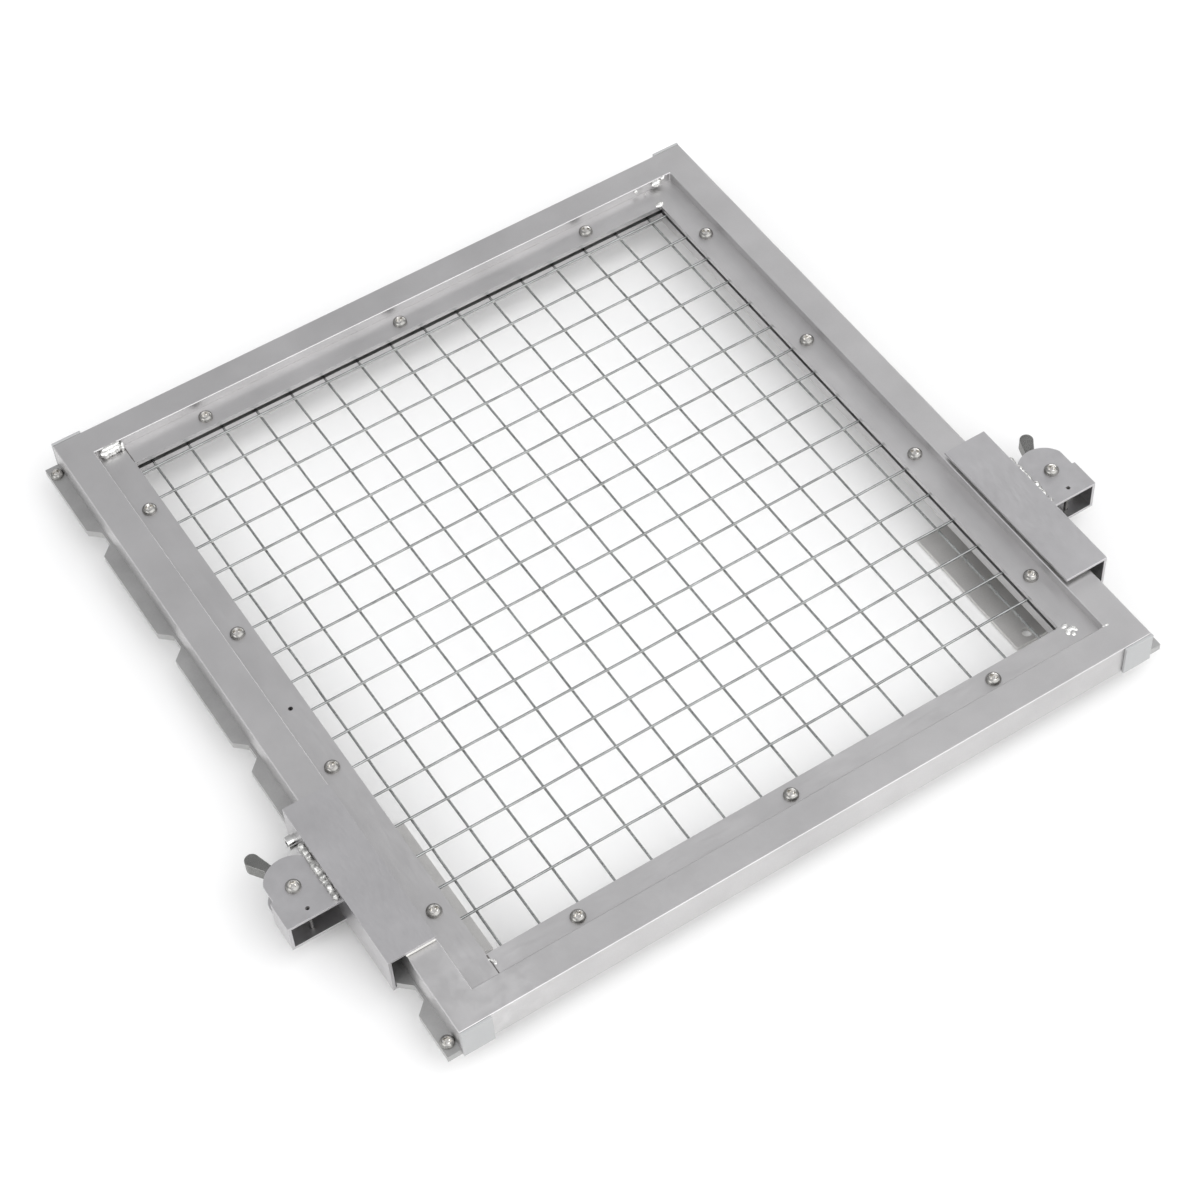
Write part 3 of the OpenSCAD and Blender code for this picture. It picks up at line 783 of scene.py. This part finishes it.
# ---------------------------------------------------------------- welds
def weld_bead(path, width, height, seed, ripple=1.5):
    """Corners and faces of a rippled bead along a path, with its sizes in millimetres."""
    ring_gap, wobble_length, sides = 0.3, 4, 14
    dice = random.Random(seed)
    path = [Vector(p) for p in path]
    lengths = [0.0]
    for a, b in zip(path, path[1:]):
        lengths.append(lengths[-1] + (b - a).length)
    total = lengths[-1]
    count = max(8, int(total / ring_gap))
    points, sizes = [], []
    for k in range(count + 1):
        s = total * k / count
        i = max(n for n in range(len(path) - 1) if lengths[n] <= s + 1e-9)
        share = (s - lengths[i]) / max(lengths[i + 1] - lengths[i], 1e-9)
        point = path[i].lerp(path[i + 1], share)
        wobble = noise.noise(Vector((s / wobble_length, seed * 1.7, 0)))
        # Each ripple swells along its length, and both ends of the bead are rounded off
        lobe = (s / ripple) % 1.0
        swell = 0.82 + 0.22 * math.sqrt(lobe) + 0.25 * wobble + dice.uniform(-0.03, 0.03)
        end = min(1.0, math.sqrt(max(0.02, min(s, total - s) / (0.6 * width))))
        points.append((point + Vector((0, 0, 0.25 * wobble * height))) * MM)
        sizes.append((width / 2 * swell * end * MM, height / 2 * swell * end * MM))
    return swept(points, sizes, sides)


class CARRIER_OT_welds(bpy.types.Operator):
    """Arc-weld beads at the frame's corners and along the latch housings"""
    bl_idname = "carrier.welds"
    bl_label = "Weld beads"

    def execute(self, context):
        step = (FLANGE_TOP + RAIL_TOP) / 2      # half way up from the flange to the rail
        sunk = FLANGE_TOP - 0.1                 # a bead's middle, a little in the flange
        # Each row is a bead: its path, width, height, seed and, if not 1.5 mm, ripple
        rows = (
            # back left: overlapping passes that fill the step up to the back rail
            ([(-IN_X + 2, IN_Y - 2.5, step - 1), (-OPEN_X - 1, IN_Y - 2, step)], 6, 6, 3, 5),
            ([(-IN_X + 4, IN_Y - 1, step + 1.5), (-OPEN_X - 2, IN_Y - 0.8, step + 2)],
             4, 4, 13, 4),
            ([(-OPEN_X - 2, IN_Y - 4, FLANGE_TOP), (-OPEN_X - 0.5, IN_Y - 1, step + 2)],
             3, 3, 4),
            # back right: lumps on the step, and one on the flange's inner corner
            ([(OPEN_X - 10.5, IN_Y - 0.5, step + 2.2), (OPEN_X - 7.5, IN_Y - 1, step + 2)],
             4, 4, 5),
            ([(OPEN_X - 4, IN_Y - 2.6, step - 1), (OPEN_X - 3, IN_Y - 3.4, step - 2)],
             3.6, 3, 15),
            ([(OPEN_X + 3, IN_Y - 1.5, step + 1), (IN_X - 8, IN_Y - 1.2, step + 1.2)],
             5, 5, 6, 4),
            ([(IN_X - 8, IN_Y - 0.8, step + 2), (IN_X - 4.5, IN_Y, RAIL_TOP - 0.4)], 4, 3, 16),
            ([(OPEN_X - 3.5, OPEN_Y + 1.2, FLANGE_TOP - 0.2),
              (OPEN_X + 3, OPEN_Y + 1.8, FLANGE_TOP - 0.2)], 4.6, 2.8, 8),
            # front right: a ringed blob on the flange's corner and a drop on the rail's step
            ([(OPEN_X + 1, -OPEN_Y - 1.5, sunk), (OPEN_X + 6, -OPEN_Y - 0.5, sunk)], 3, 1.4, 9),
            ([(OPEN_X + 1.5, -OPEN_Y - 8, sunk), (OPEN_X + 3, -OPEN_Y - 4.5, FLANGE_TOP),
              (OPEN_X + 7, -OPEN_Y - 4.6, FLANGE_TOP), (OPEN_X + 8, -OPEN_Y - 8, sunk)],
             3.4, 1.8, 19),
            ([(OPEN_X + 3.6, -OPEN_Y - 10, sunk), (OPEN_X + 5.6, -OPEN_Y - 7.4, FLANGE_TOP)],
             3, 1.5, 29),
            ([(IN_X - 0.6, -IN_Y + 0.6, RAIL_TOP - 0.8),
              (IN_X + 3.4, -IN_Y - 0.6, RAIL_TOP - 0.2)], 3, 1.8, 10),
            # front left: what the grinder left of the bead
            ([(-OPEN_X - 1, -OPEN_Y - 3, sunk), (-OPEN_X + 1.5, -OPEN_Y - 6, sunk),
              (-OPEN_X + 1.5, -OPEN_Y - 9, FLANGE_TOP - 0.15)], 1.6, 0.9, 12),
        )
        beads = [weld_bead(*row) for row in rows]
        new_piece("frame_weld_beads", gathered("frame_weld_beads", beads), "bead", "frame",
                  smooth_angle=ROUND_ANGLE)
        # Thin dark strips in the joints between the left flange and the end flanges: painted
        # shade of the gaps there
        soot, thin, flat = [], 0.9, 0.5
        for end in (-1, 1):
            path = [(-OPEN_X, end * (OPEN_Y + 0.6), FLANGE_TOP - 0.05),
                    (-OPEN_X - 0.2, end * (IN_Y - 1), FLANGE_TOP - 0.05)]
            soot.append(weld_bead(path, thin, flat, 60 + end, ripple=6))
        new_piece("frame_joint_painted_shade", gathered("frame_joint_painted_shade", soot), "soot", "frame",
                  smooth_angle=ROUND_ANGLE)
        # The housing's seam: one run along it, with longer lumps that climb the carriage's
        # wall where the welder paused, and a thin run along the housing's lower edge
        x, top, low = CARRIAGE_WALL + 1.5, HOUSING_HIGH.z + 0.9, HOUSING_LOW.z - 0.1
        y0, y1 = HOUSING_LOW.y + 1.5, HOUSING_HIGH.y + 1
        run, thin_run = (4.8, 4.2), (2.4, 2.2)
        # Each lump's place as a share of the run, its length, its size and its rise
        lumps = ((0.04, 4.4, 4.2, 2.0), (0.2, 6.5, 4.4, 2.2), (0.37, 5.5, 4.8, 2.4),
                 (0.55, 8.5, 3.8, 1.9), (0.75, 5.0, 4.4, 2.3), (0.96, 5.6, 4.8, 2.3))
        for side, sign in SIDES:
            beads = [weld_bead([(sign * x, y0, top), (sign * (x + 0.3), y1, top)],
                               *run, 20 + sign, ripple=7)]
            for n, (share, long, size, rise) in enumerate(lumps):
                y = y0 + (y1 - y0) * share
                z = HOUSING_HIGH.z + rise
                path = [(sign * x, y - long / 2, z - 0.8), (sign * (x + 0.5), y, z),
                        (sign * x, y + long / 2, z - 0.3)]
                beads.append(weld_bead(path, size, size, 30 + n + 10 * sign, ripple=5))
            beads.append(weld_bead([(sign * x, y0, low), (sign * x, y1 - 3, low)],
                                   *thin_run, 40 + sign))
            mesh = gathered(f"housing_weld_beads_{side}", beads)
            new_piece(mesh.name, mesh, "sooty_bead", f"carriage_{side}",
                      smooth_angle=ROUND_ANGLE)
        return {"FINISHED"}


# ---------------------------------------------------------------- stage
class CARRIER_OT_stage(bpy.types.Operator):
    """Pale floor, soft lights and the camera"""
    bl_idname = "carrier.stage"
    bl_label = "Stage"

    def execute(self, context):
        scene = context.scene
        half, drop = 6.0, 0.4 * MM      # the floor lies just under the feet
        corners = [(sx * half, sy * half, -drop) for sx, sy in CORNERS]
        floor = bpy.data.objects.new("floor", from_arrays("floor", corners, [(0, 1, 2, 3)]))
        scene.collection.objects.link(floor)
        # Matt white board: bright and even, with no gloss of its own
        board, _, _ = new_material("matt_white_board", linear("#F7F7F6"), 0.0, 0.9)
        floor.data.materials.append(board)

        world = bpy.data.worlds.new("studio")
        scene.world = world
        world.use_nodes = True
        tree = world.node_tree
        sky = tree.nodes["Background"]
        sky.inputs["Color"].default_value = (*linear("#FBFBFD"), 1)
        # Brighter from the front left than from the back right
        front_left, dim, bright = (-0.5, -0.8, 0.2), 0.58, 1.05
        place = add_node(tree, "ShaderNodeTexCoord")
        lean = add_node(tree, "ShaderNodeVectorMath", {"operation": "DOT_PRODUCT"},
                        {0: place.outputs["Generated"]})
        lean.inputs[1].default_value = front_left
        glow = add_node(tree, "ShaderNodeMapRange",
                        {"From Min": -0.5, "From Max": 0.6, "To Min": dim, "To Max": bright},
                        {"Value": lean.outputs["Value"]})
        tree.links.new(glow.outputs[0], sky.inputs["Strength"])
        scene.view_settings.view_transform = "Standard"

        lamps = (
            # name, place, width and height in metres, power in watts
            ("front_softbox", (0.75, -1.35, 1.95), 3.4, 2.6, 34),
            ("left_softbox", (-2.0, -0.4, 1.5), 1.6, 1.2, 12),
            ("back_softbox", (1.6, 1.15, 0.75), 1.2, 0.5, 5),
        )
        for name, place, width, height, power in lamps:
            light = bpy.data.lights.new(name, "AREA")
            light.shape = "RECTANGLE"
            light.size, light.size_y = width, height
            light.energy = power
            lamp = bpy.data.objects.new(name, light)
            lamp.location = place
            to_part = -Vector(place)
            lamp.rotation_euler = to_part.to_track_quat("-Z", "Y").to_euler()
            scene.collection.objects.link(lamp)

        camera = bpy.data.objects.new("camera", bpy.data.cameras.new("camera"))
        scene.collection.objects.link(camera)
        camera.data.lens = 84.83
        camera.data.sensor_width = 36
        # Directions of its right, its top and its back, and its place in metres
        right = (0.8426, -0.5365, -0.0458)
        up = (0.4502, 0.6552, 0.6066)
        back = (-0.2955, -0.5318, 0.7936)
        place = (-0.5194, -0.9517, 1.3901)
        camera.matrix_world = Matrix([[right[i], up[i], back[i], place[i]] for i in range(3)]
                                     + [[0, 0, 0, 1]])
        scene.camera = camera
        return {"FINISHED"}


# ---------------------------------------------------------------- panel and run
STEPS = ("frame", "bars", "wire_mesh", "fasteners", "racks", "carriages", "levers", "welds",
         "stage")


class CARRIER_PT_panel(bpy.types.Panel):
    """Lists the platform's pieces and settings"""
    bl_label = "Cargo carrier"
    bl_idname = "CARRIER_PT_panel"
    bl_space_type = "VIEW_3D"
    bl_region_type = "UI"
    bl_category = "Carrier"

    def draw(self, context):
        layout = self.layout
        for group in ("carrier_edges", "carrier_wires", "carrier_colours"):
            column = layout.column(align=True)
            settings = getattr(context.scene, group)
            for name in settings.__annotations__:
                column.prop(settings, name)
        for step in STEPS:
            layout.operator(f"carrier.{step}")


CLASSES = (CarrierEdges, CarrierWires, CarrierColours, CARRIER_OT_frame, CARRIER_OT_bars,
           CARRIER_OT_mesh, CARRIER_OT_fasteners, CARRIER_OT_racks, CARRIER_OT_carriages,
           CARRIER_OT_levers, CARRIER_OT_welds, CARRIER_OT_stage, CARRIER_PT_panel)


def register():
    for cls in CLASSES:
        bpy.utils.register_class(cls)
    bpy.types.Scene.carrier_edges = PointerProperty(type=CarrierEdges)
    bpy.types.Scene.carrier_wires = PointerProperty(type=CarrierWires)
    bpy.types.Scene.carrier_colours = PointerProperty(type=CarrierColours)


def unregister():
    for group in ("carrier_edges", "carrier_wires", "carrier_colours"):
        delattr(bpy.types.Scene, group)
    for cls in reversed(CLASSES):
        bpy.utils.unregister_class(cls)


def main():
    register()
    FINISH.update(make_materials(bpy.context.scene.carrier_colours))
    for step in STEPS:
        getattr(bpy.ops.carrier, step)()


if __name__ == "__main__":
    main()
